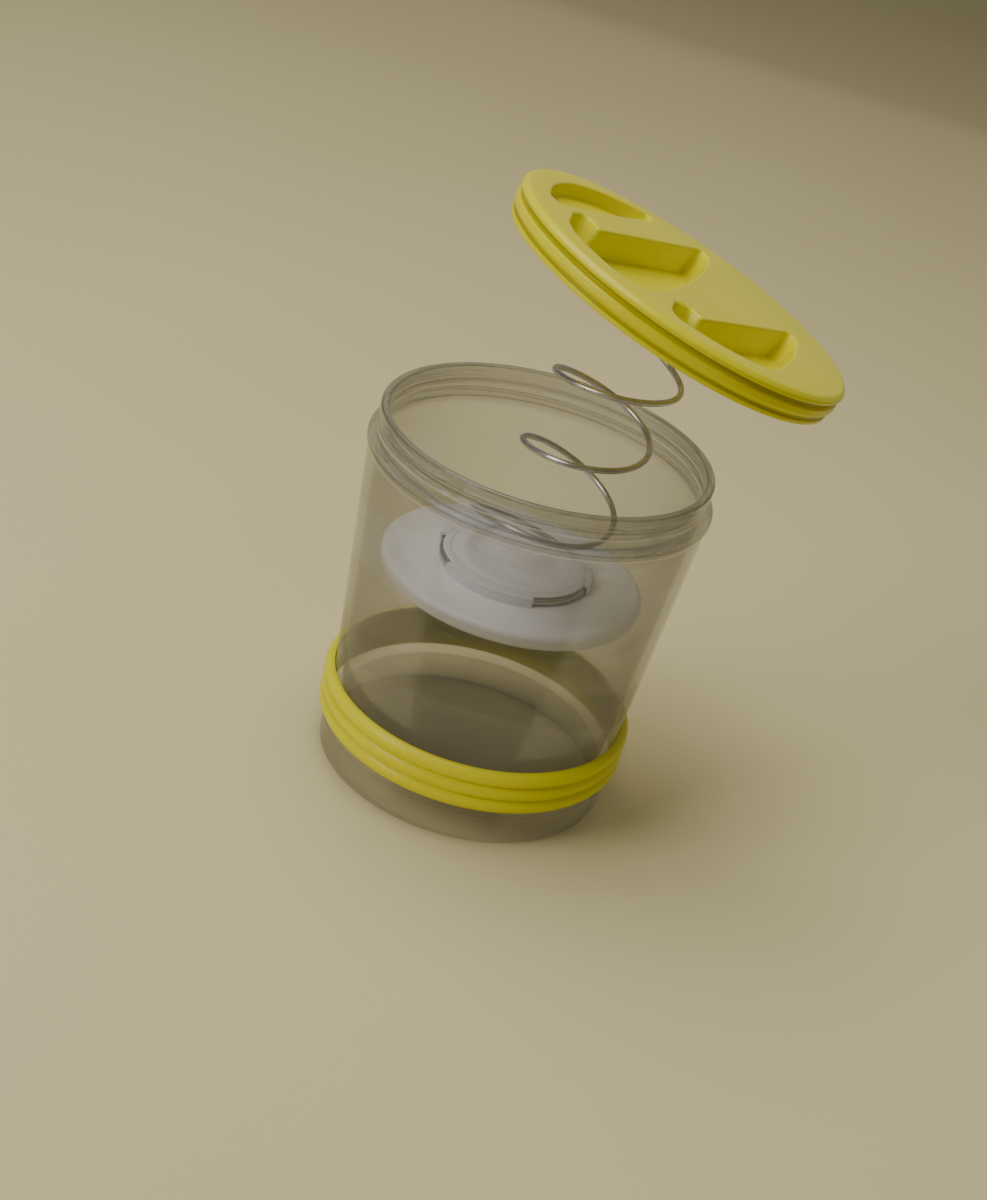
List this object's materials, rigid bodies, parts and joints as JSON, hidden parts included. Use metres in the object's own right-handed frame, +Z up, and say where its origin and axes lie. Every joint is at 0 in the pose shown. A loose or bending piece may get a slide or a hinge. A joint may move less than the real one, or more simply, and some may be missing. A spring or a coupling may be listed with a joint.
{
  "type": "pickle press",
  "caption": "Round clear jar with a yellow base band and a lifted yellow lid, whose spring presses a white plate down onto food in the jar.",
  "frame": {"origin": "centre of the jar's foot ring, on the plane that it stands on", "axes": "+Z up along the jar's axis, +X towards the side to which the lifted lid leans"},
  "size_m": [0.138, 0.1185, 0.1977],
  "materials": {
    "clear_plastic": "clear, smooth",
    "yellow_band": "satin yellow",
    "white_plastic": "soft gloss white",
    "spring_steel": "drawn round wire",
    "yellow_lid": "glossy lemon yellow",
    "seal": "matt, slightly translucent"
  },
  "bodies": {
    "jar": {"jar": "clear_plastic", "base_band": "yellow_band"},
    "plate": {"press_plate": "white_plastic"},
    "spring": {"press_spring": "spring_steel"},
    "retainer": {"spring_retainer": "white_plastic"},
    "lid": {"lid": "yellow_lid", "lid_seal": "seal"}
  },
  "joints": [
    {"name": "plate_travel", "type": "slide", "parent": "jar", "child": "plate", "axis": [0, 0, 1], "range_m": [-0.054, 0.02], "stiffness_N_per_m": 270, "springref_m": 0.002},
    {"name": "lid_seat", "type": "slide", "parent": "jar", "child": "spring", "axis": [0, 0, 1], "range_m": [-0.016, 0], "stiffness_N_per_m": 270, "springref_m": 0.006, "deforming": ["press_spring"]},
    {"name": "lid_swing", "type": "hinge", "parent": "spring", "child": "retainer", "pos_m": [0.13289, 0.02272, 0.07303], "axis": [-0.1685, 0.9857, 0], "range_deg": [-17.6, 0], "stiffness_Nm_per_rad": 4.4, "springref_deg": 1.72},
    {"name": "lid_turn", "type": "hinge", "parent": "retainer", "child": "lid", "pos_m": [0.02612, 0.00446, 0.17744], "axis": [0.298, 0.0509, 0.9532], "range_deg": [0, 45]}
  ]
}
